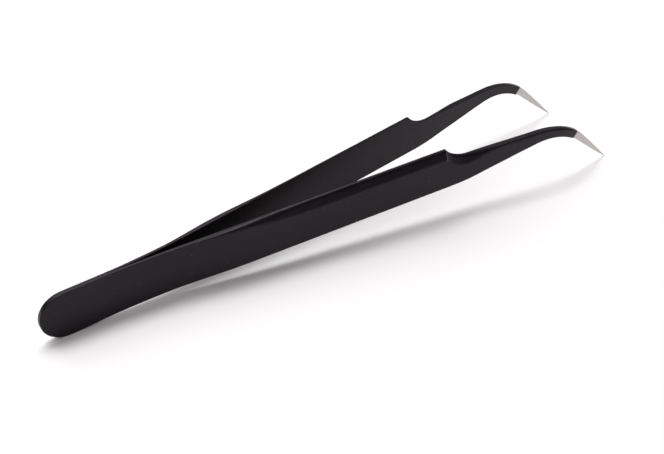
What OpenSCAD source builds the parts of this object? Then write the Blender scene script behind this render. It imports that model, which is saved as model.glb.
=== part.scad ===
// Curved fine-point tweezers: two spring steel arms welded at the heel, coated all over but the points.
// +X runs from the heel to the points, +Z is up as the tweezers stand on edge, the far arm is on +Y.
// The origin is on the resting surface, under the middle of the object.

/* [Overall] */
// Length from the rounded heel to the points
length = 120; // [115:1:125]
// Thickness of the coating
coat = 0.1; // [0.08:0.01:0.12]
// Width by which the sharp edges are eased
eased_edge = 0.12; // [0.08:0.01:0.15]

/* [Heel] */
// Height of the arms at the rounded heel
heel_w = 9.7; // [9:0.1:10]
// Length over which the two arms lie together and are welded
heel_len = 12; // [11:0.5:14]
// Thickness of one arm at the heel, with its coating
heel_t = 0.52; // [0.5:0.02:0.8]
// Diameter of a weld nugget
nugget_d = 2.8; // [2:0.1:4]
// Depth that a nugget reaches into each arm
nugget_depth = 0.3; // [0.2:0.05:0.4]

/* [Handle] */
// Slope of the lower edge, from the resting surface, in degrees
lower_pitch = 4.8; // [4.5:0.1:5.2]
// Slope of the upper edge next to the heel, in degrees
upper_pitch = 3; // [2.8:0.1:3.4]
// Slope of the upper edge along the grip, in degrees
grip_pitch = 4.55; // [4:0.05:4.8]
// Thickness of one blade, with its coating
blade_t = 1.25; // [1:0.05:1.5]
// Distance from the heel to the shoulder
shoulder_x = 79.5; // [78:0.5:81]
// Length of the hollow cut from the shoulder down to the neck
notch_len = 5.4; // [4:0.1:6]
// Thickness that the long outer bevel leaves at the top edge
top_flat = 0.45; // [0.4:0.05:0.9]
// Height of the long outer bevel at the shoulder
bevel_h = 1.9; // [1:0.1:2.5]

/* [Spring] */
// Thickness of the spring steel strip beyond the heel, with its coating
sheet_t = 0.6; // [0.55:0.05:0.9]
// Distance from the heel to the end of the bend in each arm
bend_end = 26.5; // [25:0.5:30]
// Distance from the heel to where the thin flexure ends and the blade starts
blade_start = 34; // [33:0.5:38]
// Sideways run of each arm per millimetre beyond the bend
splay = 0.097; // [0.08:0.001:0.11]
// Distance by which the points curve back towards each other
toe_in = 1.1; // [0.5:0.1:1.5]

/* [Neck and point] */
// Slope of the neck, in degrees
neck_pitch = 7.2; // [6:0.1:8]
// Slope of the point, in degrees below level
point_pitch = 43.3; // [40:0.1:46]
// Radius of the bend between neck and point
point_bend_r = 14.7; // [14:0.1:17]
// Length of the straight end of the point
point_straight = 11.4; // [9:0.1:12]
// Length of bare steel at each point
bare_len = 13.9; // [11:0.1:15]
// Width and thickness of the very end of a bare point
point_w = 0.12; // [0.1:0.02:0.2]
// Half-width that the point gains on its way to the neck
point_gain = 0.85; // [0.7:0.05:0.9]
// Half-width that the neck flares by towards the shoulder
neck_flare = 1.97; // [1.7:0.01:2.1]

/* [Hidden] */
$fn = 96;

heel_r = heel_w / 2;
// The upper edge changes slope, the strip gains its thickness and the blade gains its own over these distances
// from the heel
upper_bend = [19, 31];
sheet_grows = [heel_len, 22];
thickening = [24, 39.5];
// The inside coating is this share of its full thickness in the throat of the vee, and full after coat_run
throat_share = 0.2;
coat_run = 8;
// The bevel grows over the first distances, and fades over the second ones to a part of its size
bevel_grows = [27, 53];
bevel_fades = [83, 93];
bevel_left = 0.18;
// The points curve inwards after this distance from the heel
toe_in_start = length - 22;
// The neck flares from and over these distances, measured back from the point's end
flare_start = 17.4;
flare_run = 26.4;
// The point gains its width and its thickness over these lengths, back from its end
point_run = 20.6;
thinning_run = 19.5;
// Lower edge of the neck eases into the handle's over this distance past the shoulder
lower_blend = 10;
// Spacing of the cross-sections in each stretch
flexure_steps = 12;
handle_steps = 18;
neck_steps = 44;
point_steps = 10;
nugget_x = [heel_r, heel_len - 3.5];

black = [0.17, 0.165, 0.18];
steel = [0.78, 0.75, 0.73];

// --- Shape rules ---

function mix(a, b, t) = a + (b - a) * t;

// Smooth change from 0 to 1 as t goes from 0 to 1
function ease(t) = let (c = min(1, max(0, t))) c * c * (3 - 2 * c);

// How far x is between the two ends of a stretch, from 0 to 1
function along(x, stretch) = (x - stretch[0]) / (stretch[1] - stretch[0]);

// Rise of a line that is level up to stretch[0], bends evenly and has a slope of 1 after stretch[1]
function bent(x, stretch) =
    x < stretch[0] ? 0
    : x < stretch[1] ? pow(x - stretch[0], 2) / (2 * (stretch[1] - stretch[0]))
    : x - (stretch[0] + stretch[1]) / 2;

// Distance of an arm's inner surface from the middle plane
function inner_y(x) =
    splay * bent(x, [heel_len, bend_end])
    - toe_in * pow(max(0, x - toe_in_start) / (length - toe_in_start), 2);

// Lower and upper edges of the handle, tangent to the rounded heel
function handle_low(x) =
    x * tan(lower_pitch) + heel_r * (cos(lower_pitch) - sin(lower_pitch) - 1) / cos(lower_pitch);
function handle_high(x) =
    x * tan(upper_pitch) + heel_r * (cos(upper_pitch) - sin(upper_pitch) + 1) / cos(upper_pitch)
    + (tan(grip_pitch) - tan(upper_pitch)) * bent(x, upper_bend);

function thickness(x) =
    mix(mix(heel_t, sheet_t, ease(along(x, sheet_grows))), blade_t, ease(along(x, thickening)));

// Size of the outer bevel: 0 at the flexure, 1 at the shoulder
function bevel_share(x) =
    ease(along(x, bevel_grows)) * mix(1, bevel_left, ease(along(x, bevel_fades)));

function inner_coat(x) = coat * mix(throat_share, 1, ease((x - heel_len) / coat_run));

// --- Centre line of the neck and point, by distance back from the point's end ---

point_end = [length - point_w / 2 * sin(point_pitch), point_w / 2 * cos(point_pitch)];
bend_out = point_end + point_straight * [-cos(point_pitch), sin(point_pitch)];
bend_centre = bend_out - point_bend_r * [sin(point_pitch), cos(point_pitch)];
bend_in = bend_centre + point_bend_r * [-sin(neck_pitch), cos(neck_pitch)];
bend_run = point_bend_r * (point_pitch + neck_pitch) * PI / 180;
neck_run = (bend_in[0] - shoulder_x) / cos(neck_pitch);
neck_back = point_straight + bend_run + neck_run;

// Slope of the centre line in degrees, upwards positive
function centre_slope(back) =
    min(neck_pitch, max(-point_pitch, (back - point_straight) / point_bend_r * 180 / PI - point_pitch));

function centre_point(back) =
    back < point_straight ? point_end + back * [-cos(point_pitch), sin(point_pitch)]
    : back < point_straight + bend_run
        ? bend_centre + point_bend_r * [-sin(centre_slope(back)), cos(centre_slope(back))]
        : bend_in - (back - point_straight - bend_run) * [cos(neck_pitch), sin(neck_pitch)];

function half_width(back) =
    let (gain = point_gain * (1 - pow(1 - min(1, back / point_run), 2)))
    coat + point_w / 2 + gain + neck_flare * ease((back - flare_start) / flare_run);

// Direction across the arm: upright at the shoulder, square to the centre line further on
function across(back) =
    let (slope = centre_slope(back) * ease((neck_back - back) / lower_blend))
    [-sin(slope), cos(slope)];

// Height of the hollow above the neck, a round cut that starts at the shoulder's corner
shoulder_step = handle_high(shoulder_x)
    - (centre_point(neck_back) + across(neck_back) * half_width(neck_back))[1];
notch_r = (pow(notch_len, 2) + pow(shoulder_step, 2)) / (2 * shoulder_step);
function notch_rise(x) =
    let (left = min(notch_len, max(0, shoulder_x + notch_len - x)))
    notch_r - sqrt(pow(notch_r, 2) - pow(left, 2));

// --- Cross-sections: [lower end, upper end, thickness, bevel share], ends as [x, z] ---

function handle_section(x) =
    [[x, handle_low(x)], [x, handle_high(x)], thickness(x), bevel_share(x)];

function neck_section(back) =
    let (middle = centre_point(back))
    let (reach = across(back) * half_width(back))
    let (low = middle - reach)
    let (high = middle + reach)
    let (low_share = ease((low[0] - shoulder_x) / lower_blend))
    let (end_t = point_w + 2 * coat)
    let (thinning = ease(back / thinning_run))
    [
        [low[0], mix(handle_low(low[0]), low[1], low_share)],
        [high[0], high[1] + notch_rise(high[0])],
        mix(end_t, blade_t, thinning),
        bevel_share(middle[0]) * thinning
    ];

// Corner of a ring: out is the distance from the inner surface, up is along the section
function corner(section, up, out) =
    let (reach = section[1] - section[0])
    let (at = section[0] + reach / norm(reach) * up)
    [at[0], inner_y(at[0]) + out, at[1]];

// The eight corners of a section, drawn in by inset on every side
function ring(section, inset) =
    let (x = section[0][0])
    let (inside = inset == 0 ? 0 : inner_coat(x))
    let (height = norm(section[1] - section[0]))
    let (outside = section[2] - inset)
    let (edge = eased_edge * min(1, section[2] / heel_t))
    let (cut_w = max(edge, (blade_t - top_flat) * section[3]))
    let (cut_h = max(edge, bevel_h * section[3]))
    [
        corner(section, inset, inside + edge),
        corner(section, inset, outside - edge),
        corner(section, inset + edge, outside),
        corner(section, height - inset - cut_h, outside),
        corner(section, height - inset, outside - cut_w),
        corner(section, height - inset, inside + edge),
        corner(section, height - inset - edge, inside),
        corner(section, inset + edge, inside)
    ];

flexure_sections = [
    for (i = [0:flexure_steps]) handle_section(mix(heel_len, blade_start, i / flexure_steps))
];
coated_sections = concat(
    [for (i = [0:handle_steps]) handle_section(mix(blade_start, shoulder_x, i / handle_steps))],
    [for (i = [1:neck_steps]) neck_section(mix(neck_back, bare_len, i / neck_steps))]
);
bare_sections = [for (i = [1:point_steps]) neck_section(bare_len * (1 - i / point_steps))];

// --- Lofts ---

function flat(lists) = [for (list = lists) each list];

// Two triangles for each side of each stretch between rings; sides is the number of corners in a ring
function skin(rings, sides, first = 0) = flat([
    for (r = [0:rings - 2], s = [0:sides - 1])
        let (a = first + r * sides + s)
        let (b = first + r * sides + (s + 1) % sides)
        [[a, b, b + sides], [a, b + sides, a + sides]]
]);

function flipped(faces) = [for (face = faces) [face[2], face[1], face[0]]];

// Closed solid through a list of rings
module loft(rings) {
    sides = len(rings[0]);
    last = (len(rings) - 1) * sides;
    caps = flat([for (s = [1:sides - 2]) [[0, s + 1, s], [last, last + s, last + s + 1]]]);
    polyhedron(flat(rings), flipped(concat(skin(len(rings), sides), caps)));
}

// Tube between an outer and an inner list of rings, open at both ends
module sleeve(outer, inner) {
    sides = len(outer[0]);
    count = len(outer);
    shift = count * sides;
    last = (count - 1) * sides;
    rims = flat([
        for (s = [0:sides - 1])
            let (next = (s + 1) % sides)
            [
                [s, s + shift, next + shift], [s, next + shift, next],
                [last + s, last + next + shift, last + s + shift], [last + s, last + next, last + next + shift]
            ]
    ]);
    faces = concat(skin(count, sides), flipped(skin(count, sides, shift)), rims);
    polyhedron(concat(flat(outer), flat(inner)), flipped(faces));
}

// --- Sub-parts, each in the frame of the whole object ---

module in_place() {
    translate([-length / 2, 0, 0]) children();
}

module near_side() {
    mirror([0, 1, 0]) children();
}

// Side view of the heel, drawn in by inset; it may run on past its end
module heel_outline(inset, run_on = 0) {
    end = heel_len + run_on;
    r = heel_r - inset;
    translate([heel_r, heel_r]) circle(r = r);
    polygon([
        [heel_r, heel_r] + r * [sin(lower_pitch), -cos(lower_pitch)],
        [end, handle_low(end) + inset],
        [end, handle_high(end) - inset],
        [heel_r, heel_r] + r * [-sin(upper_pitch), cos(upper_pitch)]
    ]);
}

// Upright plate from y = from to y = to
module plate(from, to) {
    translate([0, to, 0]) rotate([90, 0, 0]) linear_extrude(to - from) children();
}

module nuggets() {
    for (x = nugget_x) {
        translate([x, 0, (handle_low(x) + handle_high(x)) / 2])
            rotate([90, 0, 0]) cylinder(h = 2 * nugget_depth, d = nugget_d, center = true);
    }
}

module heel() {
    difference() {
        plate(0, heel_t - coat) heel_outline(coat);
        nuggets();
    }
}

module near_heel() {
    color(steel) in_place() near_side() heel();
}

module far_heel() {
    color(steel) in_place() heel();
}

module weld_nuggets() {
    color(steel) in_place() nuggets();
}

module heel_coating() {
    steel_t = heel_t - coat;
    color(black) in_place() difference() {
        plate(-heel_t, heel_t) heel_outline(0);
        plate(-steel_t, steel_t) heel_outline(coat, 1);
    }
}

module steel_loft(sections) {
    loft([for (section = sections) ring(section, coat)]);
}

module coat_sleeve(sections) {
    sleeve([for (section = sections) ring(section, 0)], [for (section = sections) ring(section, coat)]);
}

module near_flexure() {
    color(steel) in_place() near_side() steel_loft(flexure_sections);
}

module far_flexure() {
    color(steel) in_place() steel_loft(flexure_sections);
}

module near_flexure_coating() {
    color(black) in_place() near_side() coat_sleeve(flexure_sections);
}

module far_flexure_coating() {
    color(black) in_place() coat_sleeve(flexure_sections);
}

module near_blade() {
    color(steel) in_place() near_side() steel_loft(concat(coated_sections, bare_sections));
}

module far_blade() {
    color(steel) in_place() steel_loft(concat(coated_sections, bare_sections));
}

module near_blade_coating() {
    color(black) in_place() near_side() coat_sleeve(coated_sections);
}

module far_blade_coating() {
    color(black) in_place() coat_sleeve(coated_sections);
}

near_heel();
far_heel();
weld_nuggets();
heel_coating();
near_flexure();
far_flexure();
near_flexure_coating();
far_flexure_coating();
near_blade();
far_blade();
near_blade_coating();
far_blade_coating();
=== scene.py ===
"""Curved fine-point tweezers: coated arms, bare ground points, floor, light and camera."""

import math

import bmesh
import bpy
from mathutils import Matrix, Vector


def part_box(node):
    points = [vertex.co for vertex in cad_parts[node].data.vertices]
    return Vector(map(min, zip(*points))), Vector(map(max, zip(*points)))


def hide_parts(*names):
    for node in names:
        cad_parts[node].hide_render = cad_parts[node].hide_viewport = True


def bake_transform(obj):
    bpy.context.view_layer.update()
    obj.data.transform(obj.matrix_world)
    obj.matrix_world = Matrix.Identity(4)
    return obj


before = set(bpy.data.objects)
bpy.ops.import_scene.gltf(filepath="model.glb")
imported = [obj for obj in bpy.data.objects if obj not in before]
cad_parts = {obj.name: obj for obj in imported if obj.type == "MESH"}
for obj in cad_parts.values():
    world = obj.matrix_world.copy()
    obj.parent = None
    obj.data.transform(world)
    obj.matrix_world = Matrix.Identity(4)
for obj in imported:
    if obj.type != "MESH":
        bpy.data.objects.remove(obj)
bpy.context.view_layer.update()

# Shape rules work in millimetres, with x measured from the heel's end. The frame's x is less by half a
# length. Distances called "back" run from the point's end along the neck's middle line.
MM = 0.001


def in_mm(node):
    """Lowest and highest corners of a CAD node, in millimetres, with x measured from the heel's end."""
    shift = Vector((LENGTH / 2, 0.0, 0.0))
    low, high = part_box(node)
    return low / MM + shift, high / MM + shift


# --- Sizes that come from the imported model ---

LENGTH = (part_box("far_blade")[1].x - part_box("heel_coating")[0].x) / MM
HEEL_LEN = in_mm("heel_coating")[1].x
HEEL_T = in_mm("heel_coating")[1].y
COAT = HEEL_T - in_mm("far_heel")[1].y

# --- Sizes that shape the arms between those, in millimetres and degrees; pairs are stretches of x ---

HEEL_R = 4.85
LOWER_PITCH = 4.8
UPPER_PITCH = 3.0
GRIP_PITCH = 4.55
UPPER_BEND = (19.0, 31.0)
BEND_END = 26.5
SPLAY = 0.097
TOE_IN = 1.1
TOE_IN_START = LENGTH - 22.0
SHEET_T = 0.6
SHEET_GROWS = (HEEL_LEN, 22.0)
BLADE_T = 1.25
THICKENING = (24.0, 39.5)
THROAT_SHARE = 0.2
COAT_RUN = 8.0

SHOULDER_X = 79.5
NOTCH_LEN = 5.4
CORNER_SOFT = 0.2
TOP_FLAT = 0.45
BEVEL_H = 1.9
BEVEL_GROWS = (27.0, 53.0)
BEVEL_FADES = (83.0, 93.0)
BEVEL_LEFT = 0.18

NECK_PITCH = 7.2
POINT_PITCH = 43.3
POINT_BEND_R = 14.7
POINT_STRAIGHT = 11.4
POINT_W = 0.12
POINT_GAIN = 0.85
POINT_RUN = 20.6
BARE_LEN = 13.9
THINNING_RUN = 19.5
NECK_FLARE = 1.97
FLARE_START = 17.4
FLARE_RUN = 26.4
LOWER_BLEND = 10.0

# --- How the edges are rounded, in millimetres ---

# The cut along the upper edge where there is no bevel, and the shares at which its two faces meet
EASED = 0.12
EASED_SPLIT_W = 0.5
EASED_SPLIT_H = 0.4
# Fillets of the lower outer edge and of the upper edge, at the heel and farther on
OUTER_EDGE = 0.16
OUTER_SOFT = 0.4
TOP_EDGE = 0.16
TOP_SOFT = 0.5
TOP_SOFTENS = (18.0, 38.0)
# The brow is the narrow slope between the flat on top and the long bevel
BROW_FLAT = 0.22
BROW_DROP = 0.12
BROW_W = 0.34
# Fillet of the ridge under the bevel
RIDGE_SOFT = 0.22
# Fillets of the inner edges, along the arm and where the two heels lie together
INNER_EDGE = 0.1
SEAM_EDGE = 0.03
SEAM_OPENS = (10.0, 17.0)
# A fillet takes at most this share of the face beside it
FILLET_SHARE = 0.48

# --- How finely the meshes are made ---

# Near its ends a section keeps its own direction over this margin, or this share of its height
EDGE_MARGIN = 0.6
MARGIN_SHARE = 0.45
# A flat face has points this close to its ends, or at this share of its length, so that it shades flat
SUPPORT = 0.05
SUPPORT_SHARE = 0.2
FILLET_STEPS = 4
# Sections along the rounded heel, its straight part, the handle, the shoulder, the notch, the neck and point
ROUND_STEPS = 18
STRAIGHT_STEPS = 7
HANDLE_STEPS = 52
SHOULDER_STEPS = 8
SHOULDER_RUN = 1.5
NOTCH_STEPS = 24
NOTCH_RUN = 6.0
NECK_STEPS = 40
POINT_STEPS = 26
# The last rings of a point: distance back as a share of its end width, and the share of its size it keeps
END_RINGS = ((0.3, 0.88), (0.12, 0.6), (0.03, 0.25))
# Points closer than the first are joined, and edges shorter than the second are dissolved
MERGE_GAP = 0.0005
LEAST_EDGE = 0.0002

# --- Painted highlight on the shoulder's crest ---

# How far either side of the shoulder its crest gets a painted highlight, and how strongly
CREST_W = 0.25
CREST_HIGHLIGHT = 3.0

# --- Rules that several shapes share ---

# Lengths below this count as nothing
TINY = 1e-6


def mix(a, b, t):
    """The value at share t of the way from a to b."""
    return a + (b - a) * t


def ease(t):
    """Smooth change from 0 to 1 as t goes from 0 to 1."""
    c = min(1.0, max(0.0, t))
    return c * c * (3.0 - 2.0 * c)


def along(x, stretch):
    """How far x is along a stretch, as a share of its length."""
    return (x - stretch[0]) / (stretch[1] - stretch[0])


def bent(x, stretch):
    """Rise of a line that is level before a stretch, bends evenly in it and has a slope of 1 after it."""
    start, end = stretch
    if x < start:
        return 0.0
    if x < end:
        return (x - start) ** 2 / (2.0 * (end - start))
    return x - (start + end) / 2.0


def smooth_min(a, b, soft):
    """The lesser of two values, rounded off where they differ by less than soft."""
    share = min(1.0, max(0.0, 0.5 + 0.5 * (b - a) / soft))
    return mix(b, a, share) - soft * share * (1.0 - share)


def sine(degrees):
    return math.sin(math.radians(degrees))


def cosine(degrees):
    return math.cos(math.radians(degrees))


def slope_of(degrees):
    return math.tan(math.radians(degrees))


def turned(degrees):
    """Unit vector in the side view at an angle from +X."""
    return Vector((cosine(degrees), sine(degrees)))


# --- Side view of the handle ---

def inner_y(x):
    """Distance of an arm's inner surface from the middle plane."""
    toe = TOE_IN * (max(0.0, x - TOE_IN_START) / (LENGTH - TOE_IN_START)) ** 2
    return SPLAY * bent(x, (HEEL_LEN, BEND_END)) - toe


def handle_low(x):
    rise = HEEL_R * (cosine(LOWER_PITCH) - sine(LOWER_PITCH) - 1.0) / cosine(LOWER_PITCH)
    return x * slope_of(LOWER_PITCH) + rise


def handle_high(x):
    rise = HEEL_R * (cosine(UPPER_PITCH) - sine(UPPER_PITCH) + 1.0) / cosine(UPPER_PITCH)
    steeper = (slope_of(GRIP_PITCH) - slope_of(UPPER_PITCH)) * bent(x, UPPER_BEND)
    return x * slope_of(UPPER_PITCH) + rise + steeper


def thickness(x):
    sheet = mix(HEEL_T, SHEET_T, ease(along(x, SHEET_GROWS)))
    return mix(sheet, BLADE_T, ease(along(x, THICKENING)))


def bevel_share(x):
    return ease(along(x, BEVEL_GROWS)) * mix(1.0, BEVEL_LEFT, ease(along(x, BEVEL_FADES)))


def inner_coat(x):
    return COAT * mix(THROAT_SHARE, 1.0, ease((x - HEEL_LEN) / COAT_RUN))


# --- Side view of the neck and point, by distance back from the point's end ---

POINT_BACKWARD = Vector((-cosine(POINT_PITCH), sine(POINT_PITCH)))
POINT_END = Vector((LENGTH, 0.0)) + POINT_W / 2.0 * Vector((-sine(POINT_PITCH), cosine(POINT_PITCH)))
BEND_OUT = POINT_END + POINT_STRAIGHT * POINT_BACKWARD
BEND_CENTRE = BEND_OUT - POINT_BEND_R * Vector((sine(POINT_PITCH), cosine(POINT_PITCH)))
BEND_IN = BEND_CENTRE + POINT_BEND_R * Vector((-sine(NECK_PITCH), cosine(NECK_PITCH)))
BEND_RUN = POINT_BEND_R * math.radians(POINT_PITCH + NECK_PITCH)
NECK_BACK = POINT_STRAIGHT + BEND_RUN + (BEND_IN.x - SHOULDER_X) / cosine(NECK_PITCH)


def centre_slope(back):
    bend = math.degrees((back - POINT_STRAIGHT) / POINT_BEND_R) - POINT_PITCH
    return min(NECK_PITCH, max(-POINT_PITCH, bend))


def centre_point(back):
    if back < POINT_STRAIGHT:
        return POINT_END + back * POINT_BACKWARD
    if back < POINT_STRAIGHT + BEND_RUN:
        slope = centre_slope(back)
        return BEND_CENTRE + POINT_BEND_R * Vector((-sine(slope), cosine(slope)))
    return BEND_IN - (back - POINT_STRAIGHT - BEND_RUN) * turned(NECK_PITCH)


def half_width(back):
    gain = POINT_GAIN * (1.0 - (1.0 - min(1.0, back / POINT_RUN)) ** 2)
    return COAT + POINT_W / 2.0 + gain + NECK_FLARE * ease((back - FLARE_START) / FLARE_RUN)


def across(back):
    slope = centre_slope(back) * ease((NECK_BACK - back) / LOWER_BLEND)
    return Vector((-sine(slope), cosine(slope)))


NECK_TOP = (centre_point(NECK_BACK) + across(NECK_BACK) * half_width(NECK_BACK)).y
SHOULDER_STEP = handle_high(SHOULDER_X) - NECK_TOP
NOTCH_R = (NOTCH_LEN ** 2 + SHOULDER_STEP ** 2) / (2.0 * SHOULDER_STEP)
# The hollow's circle is followed to this share of its radius, where it is already above the upper edge
NOTCH_LIMIT = 0.999


def notch_rise(x):
    """Height of the round hollow above the neck's own top edge."""
    left = min(NOTCH_LIMIT * NOTCH_R, max(0.0, SHOULDER_X + NOTCH_LEN - x))
    return NOTCH_R - math.sqrt(NOTCH_R ** 2 - left ** 2)


# --- Cross-sections ---

class Section:
    """One station along an arm: its ends in the side view, its thickness and how much of the bevel it has."""

    def __init__(self, low, high, thick, bevel, low_in=None, high_in=None, least=0.0):
        reach = high - low
        upward = reach.normalized() if reach.length > TINY else Vector((1.0, 0.0))
        self.low = low
        self.high = high
        self.low_in = low_in or upward
        self.high_in = high_in or -upward
        self.height = max(reach.length, least)
        self.thick = thick
        self.bevel = bevel

    def place(self, up, out):
        """A point of the section: a distance up from its lower end, and one out from the inner surface."""
        margin = min(EDGE_MARGIN, MARGIN_SHARE * self.height)
        if up <= margin:
            at = self.low + self.low_in * up
        elif up >= self.height - margin:
            at = self.high + self.high_in * (self.height - up)
        else:
            share = (up - margin) / (self.height - 2.0 * margin)
            at = (self.low + self.low_in * margin).lerp(self.high + self.high_in * margin, share)
        return Vector((at.x, inner_y(at.x) + out, at.y))


def heel_sections():
    """The rounded end, whose sections fan out from its middle, and the straight stretch after it."""
    sections = []
    least = 4.0 * EDGE_MARGIN
    centre = Vector((HEEL_R, HEEL_R))
    for i in range(ROUND_STEPS + 1):
        share = i / ROUND_STEPS
        low_ray = turned(180.0 + share * (90.0 + LOWER_PITCH))
        high_ray = turned(180.0 - share * (90.0 - UPPER_PITCH))
        low = centre + HEEL_R * low_ray
        high = centre + HEEL_R * high_ray
        sections.append(Section(low, high, HEEL_T, 0.0, -low_ray, -high_ray, least))
    low_x = sections[-1].low.x
    high_x = sections[-1].high.x
    for i in range(1, STRAIGHT_STEPS + 1):
        share = i / STRAIGHT_STEPS
        x_low = mix(low_x, HEEL_LEN, share)
        x_high = mix(high_x, HEEL_LEN, share)
        low = Vector((x_low, handle_low(x_low)))
        high = Vector((x_high, handle_high(x_high)))
        low_in = turned(90.0 + LOWER_PITCH * (1.0 - share))
        high_in = turned(-90.0 + UPPER_PITCH * (1.0 - share))
        sections.append(Section(low, high, HEEL_T, 0.0, low_in, high_in))
    return sections


def handle_section(x):
    high = handle_high(x)
    if x > SHOULDER_X - NOTCH_LEN:
        neck_top = NECK_TOP + (x - SHOULDER_X) * slope_of(NECK_PITCH)
        high = smooth_min(high, neck_top + notch_rise(x), CORNER_SOFT)
    return Section(Vector((x, handle_low(x))), Vector((x, high)), thickness(x), bevel_share(x))


def neck_section(back):
    middle = centre_point(back)
    reach = across(back) * half_width(back)
    low = middle - reach
    high = middle + reach
    low.y = mix(handle_low(low.x), low.y, ease((low.x - SHOULDER_X) / LOWER_BLEND))
    high.y = smooth_min(handle_high(high.x), high.y + notch_rise(high.x), CORNER_SOFT)
    thinning = ease(back / THINNING_RUN)
    thick = mix(POINT_W + 2.0 * COAT, BLADE_T, thinning)
    return Section(low, high, thick, bevel_share(middle.x) * thinning)


def steps(start, end, count):
    """Evenly spaced values after start, up to and including end."""
    return [mix(start, end, i / count) for i in range(1, count + 1)]


def coated_sections():
    handle = steps(HEEL_LEN, SHOULDER_X - SHOULDER_RUN, HANDLE_STEPS)
    handle += steps(SHOULDER_X - SHOULDER_RUN, SHOULDER_X, SHOULDER_STEPS)
    neck = steps(NECK_BACK, NECK_BACK - NOTCH_RUN, NOTCH_STEPS)
    neck += steps(NECK_BACK - NOTCH_RUN, BARE_LEN, NECK_STEPS)
    return heel_sections() + [handle_section(x) for x in handle] + [neck_section(back) for back in neck]


def bare_sections():
    return [neck_section(back) for back in steps(BARE_LEN, 0.5 * POINT_W, POINT_STEPS)]


# --- Rings of points around a section ---

def rounded(before, corner, after, size):
    """Points of a rounded corner, which starts and ends at most size away from it."""
    back = before - corner
    on = after - corner
    start = corner + back.normalized() * min(size, FILLET_SHARE * back.length)
    end = corner + on.normalized() * min(size, FILLET_SHARE * on.length)
    points = []
    for i in range(FILLET_STEPS + 1):
        t = i / FILLET_STEPS
        points.append((1.0 - t) ** 2 * start + 2.0 * t * (1.0 - t) * corner + t ** 2 * end)
    return points


def between(start, end, count):
    """Points along a flat face: one close to each end, and count - 1 evenly spaced between those."""
    length = (end - start).length
    near = min(SUPPORT, SUPPORT_SHARE * length) / max(length, TINY)
    shares = [mix(near, 1.0 - near, i / count) for i in range(count + 1)]
    return [start.lerp(end, share) for share in shares]


# The corners, in order: lower outer, ridge under the bevel, outer and inner end of the brow, inner top and
# inner low. Each has the steps of the face after it and how much it gets rubbed.
FACE_STEPS = (8, 3, 2, 2, 8, 2)
RUBBED = (1.0, 0.3, 0.2, 0.5, 1.0, 1.0)
CORNERS = len(FACE_STEPS)
RING_SIZE = CORNERS * (FILLET_STEPS + 2) + sum(FACE_STEPS)


def corners_of(section, inset):
    """Corners of a section drawn in by inset, each with the size of its fillet."""
    x = section.low.x
    inside = inner_coat(x) * inset / COAT
    outside = section.thick - inset
    top = section.height - inset
    bevel = section.bevel
    eased = EASED * min(1.0, section.thick / HEEL_T)
    full_w = BLADE_T - TOP_FLAT
    cut_w = max(eased, full_w * bevel)
    cut_h = max(eased, BEVEL_H * bevel)
    brow_w = cut_w * mix(EASED_SPLIT_W, (BLADE_T - BROW_FLAT - BROW_W) / full_w, bevel)
    brow_h = cut_h * mix(EASED_SPLIT_H, BROW_DROP / BEVEL_H, bevel)
    brow_start = mix(cut_w, BLADE_T - BROW_FLAT, bevel)
    outer_size = mix(OUTER_EDGE, OUTER_SOFT, ease(along(x, THICKENING)))
    top_size = mix(TOP_EDGE, TOP_SOFT, ease(along(x, TOP_SOFTENS)))
    inner_size = mix(SEAM_EDGE, INNER_EDGE, ease(along(x, SEAM_OPENS)))
    return [
        (Vector((inset, outside)), outer_size),
        (Vector((top - cut_h, outside)), mix(top_size, RIDGE_SOFT, bevel)),
        (Vector((top - brow_h, outside - brow_w)), top_size),
        (Vector((top, outside - brow_start)), top_size),
        (Vector((top, inside)), inner_size),
        (Vector((inset, inside)), inner_size),
    ]


def ring(section, inset):
    """Points around a section drawn in by inset, with how much each gets rubbed and the painted highlight on
    the shoulder's crest.
    """
    corners = corners_of(section, inset)
    fillets = []
    for i, (corner, size) in enumerate(corners):
        fillets.append(rounded(corners[i - 1][0], corner, corners[(i + 1) % CORNERS][0], size))
    points = []
    wear_and_highlight = []
    middle = FILLET_STEPS / 2.0
    for i, fillet in enumerate(fillets):
        points += fillet
        wear_and_highlight += [RUBBED[i] * (1.0 - abs(k - middle) / (middle + 1.0)) for k in range(FILLET_STEPS + 1)]
        flat = between(fillet[-1], fillets[(i + 1) % CORNERS][0], FACE_STEPS[i])
        points += flat
        wear_and_highlight += [0.0] * len(flat)
    # Points on the shoulder's crest get a painted highlight, stored with the wear values, in place of the
    # light the crest's edge catches
    crest_highlight = CREST_HIGHLIGHT * max(0.0, 1.0 - abs(section.high.x - SHOULDER_X) / CREST_W)
    ridge_up = corners[1][0].x - RIDGE_SOFT
    crest_out = corners[4][0].y + 0.5 * TOP_FLAT
    for i, point in enumerate(points):
        if point.x > ridge_up and point.y > crest_out:
            wear_and_highlight[i] = max(wear_and_highlight[i], crest_highlight)
    return [section.place(point.x, point.y) for point in points], wear_and_highlight


# --- Meshes ---

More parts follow.
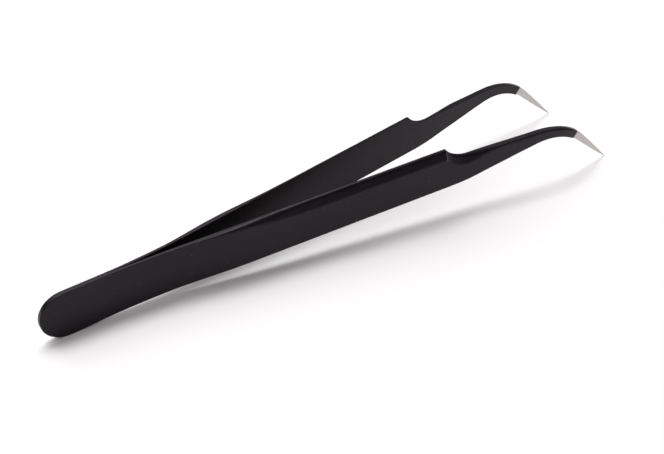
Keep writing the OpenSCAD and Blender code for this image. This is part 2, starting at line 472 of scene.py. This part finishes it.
class Shell:
    """Collects rings into a mesh, for one arm; side is -1 for the near arm and 1 for the far one."""

    def __init__(self, side):
        self.side = side
        self.points = []
        self.wear_and_highlight = []
        self.faces = []

    def add(self, points, wear_and_highlight):
        """Adds a ring and returns the number of its first point."""
        start = len(self.points)
        self.points += points
        self.wear_and_highlight += wear_and_highlight
        return start

    def join(self, a, b):
        """Faces between two rings, given by their first points."""
        for i in range(RING_SIZE):
            j = (i + 1) % RING_SIZE
            self.faces.append((a + i, a + j, b + j, b + i))

    def join_all(self, starts):
        for a, b in zip(starts, starts[1:]):
            self.join(a, b)

    def finish(self, name, material):
        shift = LENGTH / 2.0
        places = [Vector((p.x - shift, p.y * self.side, p.z)) for p in self.points]
        mesh = bpy.data.meshes.new(name)
        mesh.from_pydata([p * MM for p in places], [], self.faces)
        rest = mesh.attributes.new("rest", "FLOAT_VECTOR", "POINT")
        rest.data.foreach_set("vector", [value for p in places for value in p])
        edge_wear_and_highlight = mesh.attributes.new("edge", "FLOAT", "POINT")
        edge_wear_and_highlight.data.foreach_set("value", self.wear_and_highlight)
        clean(mesh)
        mesh.materials.append(material)
        piece = bpy.data.objects.new(name, mesh)
        bpy.context.scene.collection.objects.link(piece)
        return piece


def clean(mesh):
    """Joins points that coincide, drops faces with no area, and turns every face outwards."""
    work = bmesh.new()
    work.from_mesh(mesh)
    bmesh.ops.remove_doubles(work, verts=work.verts, dist=MERGE_GAP * MM)
    bmesh.ops.dissolve_degenerate(work, edges=work.edges, dist=LEAST_EDGE * MM)
    bmesh.ops.recalc_face_normals(work, faces=work.faces)
    for face in work.faces:
        face.smooth = True
    work.to_mesh(mesh)
    work.free()


def shrunk(points, share):
    """A ring drawn in towards its middle."""
    middle = sum(points, Vector()) / len(points)
    return [middle.lerp(p, share) for p in points], middle


def arm_steel(name, side, material):
    """The steel of one arm, from the heel to the point, inside its coating."""
    shell = Shell(side)
    sections = coated_sections() + bare_sections()
    starts = [shell.add(*ring(section, COAT)) for section in sections]
    for back, share in END_RINGS:
        points, wear_and_highlight = ring(neck_section(back * POINT_W), COAT)
        starts.append(shell.add(shrunk(points, share)[0], wear_and_highlight))
    shell.join_all(starts)
    tip = len(shell.points)
    shell.points.append(shrunk(ring(neck_section(0.0), COAT)[0], 1.0)[1])
    shell.wear_and_highlight.append(0.0)
    for i in range(RING_SIZE):
        shell.faces.append((starts[-1] + i, starts[-1] + (i + 1) % RING_SIZE, tip))
    return shell.finish(name, material)


# The rim of the coating: distance back from the bare steel, and how far the surface is drawn in there
RIM = ((0.10, 0.0), (0.05, 0.015), (0.02, 0.035), (0.0, 0.07))
# The shell's inner surface stays just off the steel, at this share of the coating's thickness
SHELL_SHARE = 0.97


def arm_coating(name, side, material):
    """The coating of one arm: a thin shell around the steel, with a rounded rim where the point starts."""
    shell = Shell(side)
    sections = coated_sections()
    outer = [shell.add(*ring(section, 0.0)) for section in sections[:-1]]
    outer += [shell.add(*ring(neck_section(BARE_LEN + back), inset)) for back, inset in RIM]
    inner = [shell.add(*ring(section, SHELL_SHARE * COAT)) for section in sections]
    shell.join_all(outer + inner[::-1])
    return shell.finish(name, material)


# --- Materials: noise scales are per millimetre of the "rest" place, and colours are linear ---

class Nodes:
    """Adds nodes to a material and joins them."""

    def __init__(self, material):
        material.use_nodes = True
        self.tree = material.node_tree
        self.tree.nodes.clear()

    def add(self, kind, inputs=None, **settings):
        node = self.tree.nodes.new(kind)
        for key, value in settings.items():
            setattr(node, key, value)
        for key, value in (inputs or {}).items():
            if isinstance(value, bpy.types.NodeSocket):
                self.tree.links.new(value, node.inputs[key])
            else:
                node.inputs[key].default_value = value
        return node

    def scaled(self, vector, scale):
        node = self.add("ShaderNodeVectorMath", {0: vector, 1: scale}, operation="MULTIPLY")
        return node.outputs[0]

    def noise(self, vector, scale, detail=2.0, roughness=0.5):
        inputs = {"Vector": vector, "Scale": scale, "Detail": detail, "Roughness": roughness}
        return self.add("ShaderNodeTexNoise", inputs).outputs["Fac"]

    def math(self, operation, a, b, clamp=False):
        return self.add("ShaderNodeMath", {0: a, 1: b}, operation=operation, use_clamp=clamp).outputs[0]

    def fit(self, value, low, high, to_low=0.0, to_high=1.0):
        """Smooth change from to_low to to_high as a value goes from low to high."""
        inputs = {"Value": value, "From Min": low, "From Max": high, "To Min": to_low, "To Max": to_high}
        return self.add("ShaderNodeMapRange", inputs, interpolation_type="SMOOTHSTEP").outputs[0]

    def blend(self, share, a, b):
        """A mix of two colours. Inputs 6 and 7 and output 2 are the colour ones of the node."""
        node = self.add("ShaderNodeMix", {"Factor": share}, data_type="RGBA")
        for socket, value in ((node.inputs[6], a), (node.inputs[7], b)):
            if isinstance(value, bpy.types.NodeSocket):
                self.tree.links.new(value, socket)
            else:
                socket.default_value = (*value, 1.0)
        return node.outputs[2]

    def bump(self, height, strength, distance, normal=None):
        inputs = {"Height": height, "Strength": strength, "Distance": distance}
        if normal is not None:
            inputs["Normal"] = normal
        return self.add("ShaderNodeBump", inputs).outputs[0]

    def surface(self, **inputs):
        named = {key.replace("_", " "): value for key, value in inputs.items()}
        shader = self.add("ShaderNodeBsdfPrincipled", named)
        out = self.add("ShaderNodeOutputMaterial")
        self.tree.links.new(shader.outputs[0], out.inputs[0])
        return shader

    def attribute(self, name, output):
        return self.add("ShaderNodeAttribute", attribute_name=name).outputs[output]


def black_coat():
    """Satin black epoxy: a fine orange peel, faint lengthwise streaks, rubbed edges, sparse dust and a
    painted highlight on the shoulder's crest.
    """
    deep = (0.0026, 0.0021, 0.0030)
    plain = (0.0042, 0.0034, 0.0047)
    streaked = (0.0110, 0.0092, 0.0118)
    rubbed = (0.045, 0.041, 0.046)
    # Colour of the painted highlight on the shoulder's crest
    crest_highlight_colour = (0.12, 0.115, 0.125)
    dust = (0.12, 0.115, 0.12)
    peel_height = 0.02 * MM
    grain_height = 0.006 * MM
    dust_height = 0.03 * MM

    material = bpy.data.materials.new("black_epoxy")
    n = Nodes(material)
    rest = n.attribute("rest", "Vector")
    edge = n.attribute("edge", "Fac")
    mottle = n.noise(rest, 0.35, 3.0, 0.6)
    grain = n.noise(rest, 9.0, 2.0, 0.5)
    streak = n.noise(n.scaled(rest, (0.06, 2.4, 2.4)), 1.0, 3.0, 0.6)
    patches = n.fit(n.noise(rest, 0.8, 4.0, 0.65), 0.48, 0.66)
    rub = n.math("MULTIPLY", edge, patches, clamp=True)
    cells = n.add("ShaderNodeTexVoronoi", {"Vector": rest, "Scale": 0.55}, feature="F1").outputs["Distance"]
    speck = n.fit(cells, 0.035, 0.06, 1.0, 0.0)

    base = n.blend(n.fit(mottle, 0.3, 0.7), deep, plain)
    base = n.blend(n.fit(streak, 0.52, 0.75, 0.0, 0.35), base, streaked)
    base = n.blend(n.math("MULTIPLY", rub, 0.55), base, rubbed)
    # Painted highlight on the shoulder's crest, where the edge value goes above 1
    base = n.blend(n.fit(edge, 1.0, CREST_HIGHLIGHT, 0.0, 0.8), base, crest_highlight_colour)
    base = n.blend(n.math("MULTIPLY", speck, 0.6), base, dust)

    rough = n.fit(n.noise(rest, 1.3, 3.0, 0.6), 0.3, 0.7, 0.29, 0.37)
    rough = n.math("SUBTRACT", rough, n.math("MULTIPLY", rub, 0.08))

    bumped = n.bump(n.noise(rest, 3.2, 2.0, 0.5), 0.25, peel_height)
    bumped = n.bump(grain, 0.3, grain_height, bumped)
    bumped = n.bump(speck, 0.4, dust_height, bumped)

    shader = n.surface(Base_Color=base, Roughness=rough, Normal=bumped)
    shader.inputs["Specular IOR Level"].default_value = 0.22
    shader.inputs["Specular Tint"].default_value = (1.0, 0.83, 0.99, 1.0)
    return material


def ground_steel():
    """Ground steel: fine lines across the point, faint mottling and slightly brighter edges."""
    tone = (0.53, 0.495, 0.47)
    mottled = tuple(0.93 * c for c in tone)
    lined = tuple(0.72 * c for c in tone)
    edged = tuple(1.12 * c for c in tone)

    material = bpy.data.materials.new("ground_steel")
    n = Nodes(material)
    rest = n.attribute("rest", "Vector")
    edge = n.attribute("edge", "Fac")
    mottle = n.noise(rest, 1.1, 3.0, 0.6)
    lines = n.noise(n.scaled(rest, (14.0, 2.0, 3.0)), 1.0, 3.0, 0.65)
    base = n.blend(n.fit(mottle, 0.3, 0.7), mottled, tone)
    base = n.blend(n.fit(lines, 0.35, 0.7, 0.0, 0.3), base, lined)
    base = n.blend(n.math("MULTIPLY", edge, 0.25), base, edged)
    rough = n.fit(lines, 0.3, 0.7, 0.32, 0.46)
    bumped = n.bump(lines, 0.35, 0.01 * MM)
    n.surface(Base_Color=base, Roughness=rough, Normal=bumped, Metallic=1.0)
    return material


def weld_metal():
    """Fused steel of the weld nuggets, slightly darker and coarser than the sheet around it."""
    dark = (0.32, 0.3, 0.29)
    bright = (0.47, 0.45, 0.44)

    material = bpy.data.materials.new("fused_steel")
    n = Nodes(material)
    place = n.scaled(n.add("ShaderNodeTexCoord").outputs["Object"], (1.0 / MM,) * 3)
    grain = n.noise(place, 6.0, 3.0, 0.6)
    base = n.blend(n.fit(grain, 0.3, 0.7), dark, bright)
    rough = n.fit(grain, 0.3, 0.7, 0.4, 0.55)
    n.surface(Base_Color=base, Roughness=rough, Normal=n.bump(grain, 0.4, 0.02 * MM), Metallic=1.0)
    return material


def white_floor():
    """Matt white board, with a faint cloudiness and a paper grain; its noise scales are per metre."""
    dull = (0.87, 0.87, 0.868)
    clean_white = (0.885, 0.885, 0.883)

    material = bpy.data.materials.new("white_board")
    n = Nodes(material)
    place = n.add("ShaderNodeTexCoord").outputs["Object"]
    cloud = n.noise(place, 3.0, 2.0, 0.5)
    base = n.blend(cloud, dull, clean_white)
    grain = n.noise(place, 900.0, 2.0, 0.5)
    n.surface(Base_Color=base, Roughness=0.9, Normal=n.bump(grain, 0.1, 0.02 * MM))
    return material


# --- The arms and their pieces ---

coat_material = black_coat()
steel_material = ground_steel()

for arm, arm_side in (("near", -1), ("far", 1)):
    steel = arm_steel(f"{arm}_arm_steel", arm_side, steel_material)
    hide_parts(f"{arm}_heel", f"{arm}_flexure", f"{arm}_blade")
    coating = arm_coating(f"{arm}_arm_coating", arm_side, coat_material)
    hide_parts("heel_coating", f"{arm}_flexure_coating", f"{arm}_blade_coating")
    for piece in (steel, coating):
        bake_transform(piece)

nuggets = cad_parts["weld_nuggets"]
nuggets.data.materials.clear()
nuggets.data.materials.append(weld_metal())

# --- Floor ---

FLOOR_SIZE = 3.0
FLOOR_CELLS = 4

bpy.ops.mesh.primitive_grid_add(x_subdivisions=FLOOR_CELLS, y_subdivisions=FLOOR_CELLS, size=FLOOR_SIZE)
floor = bpy.context.object
floor.name = "floor"
floor.data.materials.append(white_floor())

# --- Light: places and sizes in metres, power in watts ---

SKY_COLOUR = (1.0, 0.93, 0.96, 1.0)
# The sky is dim up to the first height and bright above the second one, as for a bright ceiling
SKY_HEIGHTS = (0.3, 0.95)
SKY_STRENGTHS = (0.02, 0.82)
LAMP_COLOUR = (0.99, 1.0, 0.995)
MIDDLE = (0.0, 0.0, 0.0)


def studio_sky():
    world = bpy.data.worlds.new("studio")
    world.use_nodes = True
    tree = world.node_tree
    tree.nodes.clear()
    out = tree.nodes.new("ShaderNodeOutputWorld")
    glow = tree.nodes.new("ShaderNodeBackground")
    glow.inputs["Color"].default_value = SKY_COLOUR
    height = tree.nodes.new("ShaderNodeMapRange")
    split = tree.nodes.new("ShaderNodeSeparateXYZ")
    place = tree.nodes.new("ShaderNodeTexCoord")
    tree.links.new(place.outputs["Generated"], split.inputs[0])
    tree.links.new(split.outputs["Z"], height.inputs["Value"])
    for key, value in zip(("From Min", "From Max"), SKY_HEIGHTS):
        height.inputs[key].default_value = value
    for key, value in zip(("To Min", "To Max"), SKY_STRENGTHS):
        height.inputs[key].default_value = value
    tree.links.new(height.outputs[0], glow.inputs["Strength"])
    tree.links.new(glow.outputs[0], out.inputs[0])
    return world


def softbox(name, place, aim, width, height, power):
    """A rectangular lamp at a place, turned towards its aim."""
    data = bpy.data.lights.new(name, "AREA")
    data.shape = "RECTANGLE"
    data.size = width
    data.size_y = height
    data.energy = power
    data.color = LAMP_COLOUR
    lamp = bpy.data.objects.new(name, data)
    lamp.location = place
    lamp.rotation_euler = (Vector(aim) - Vector(place)).to_track_quat("-Z", "Y").to_euler()
    bpy.context.scene.collection.objects.link(lamp)


bpy.context.scene.world = studio_sky()
softbox("top_softbox", (-0.03, 0.15, 0.58), MIDDLE, width=0.4, height=0.18, power=2.15)
softbox("back_softbox", (-0.10, 0.42, 0.42), MIDDLE, width=0.6, height=0.5, power=1.5)
softbox("side_softbox", (0.45, 0.22, 0.30), (0.03, 0.0, 0.0), width=0.3, height=0.3, power=0.2)

# --- Camera ---

CAMERA_TURN = 33.96
CAMERA_ELEVATION = 40.04
CAMERA_ROLL = 2.01
CAMERA_DISTANCE = 0.23882
CAMERA_TARGET = Vector((-0.000865, 0.000711, 0.0))
CAMERA_SENSOR = 36.0
CAMERA_LENS = 67.77
CAMERA_NEAR = 0.01


def photo_camera():
    """A camera that looks at its target from a distance, turned and rolled about it."""
    level = Vector((cosine(CAMERA_TURN), -sine(CAMERA_TURN), 0.0))
    ahead = Vector((sine(CAMERA_TURN), cosine(CAMERA_TURN), 0.0))
    view = ahead * cosine(CAMERA_ELEVATION) - Vector((0.0, 0.0, sine(CAMERA_ELEVATION)))
    upright = level.cross(view)
    right = level * cosine(CAMERA_ROLL) + upright * sine(CAMERA_ROLL)
    up = upright * cosine(CAMERA_ROLL) - level * sine(CAMERA_ROLL)
    data = bpy.data.cameras.new("camera")
    data.sensor_width = CAMERA_SENSOR
    data.lens = CAMERA_LENS
    data.clip_start = CAMERA_NEAR
    camera = bpy.data.objects.new("camera", data)
    turn = Matrix((right, up, -view)).transposed().to_4x4()
    camera.matrix_world = Matrix.Translation(CAMERA_TARGET - view * CAMERA_DISTANCE) @ turn
    bpy.context.scene.collection.objects.link(camera)
    return camera


bpy.context.scene.camera = photo_camera()
bpy.context.scene.view_settings.view_transform = "Standard"
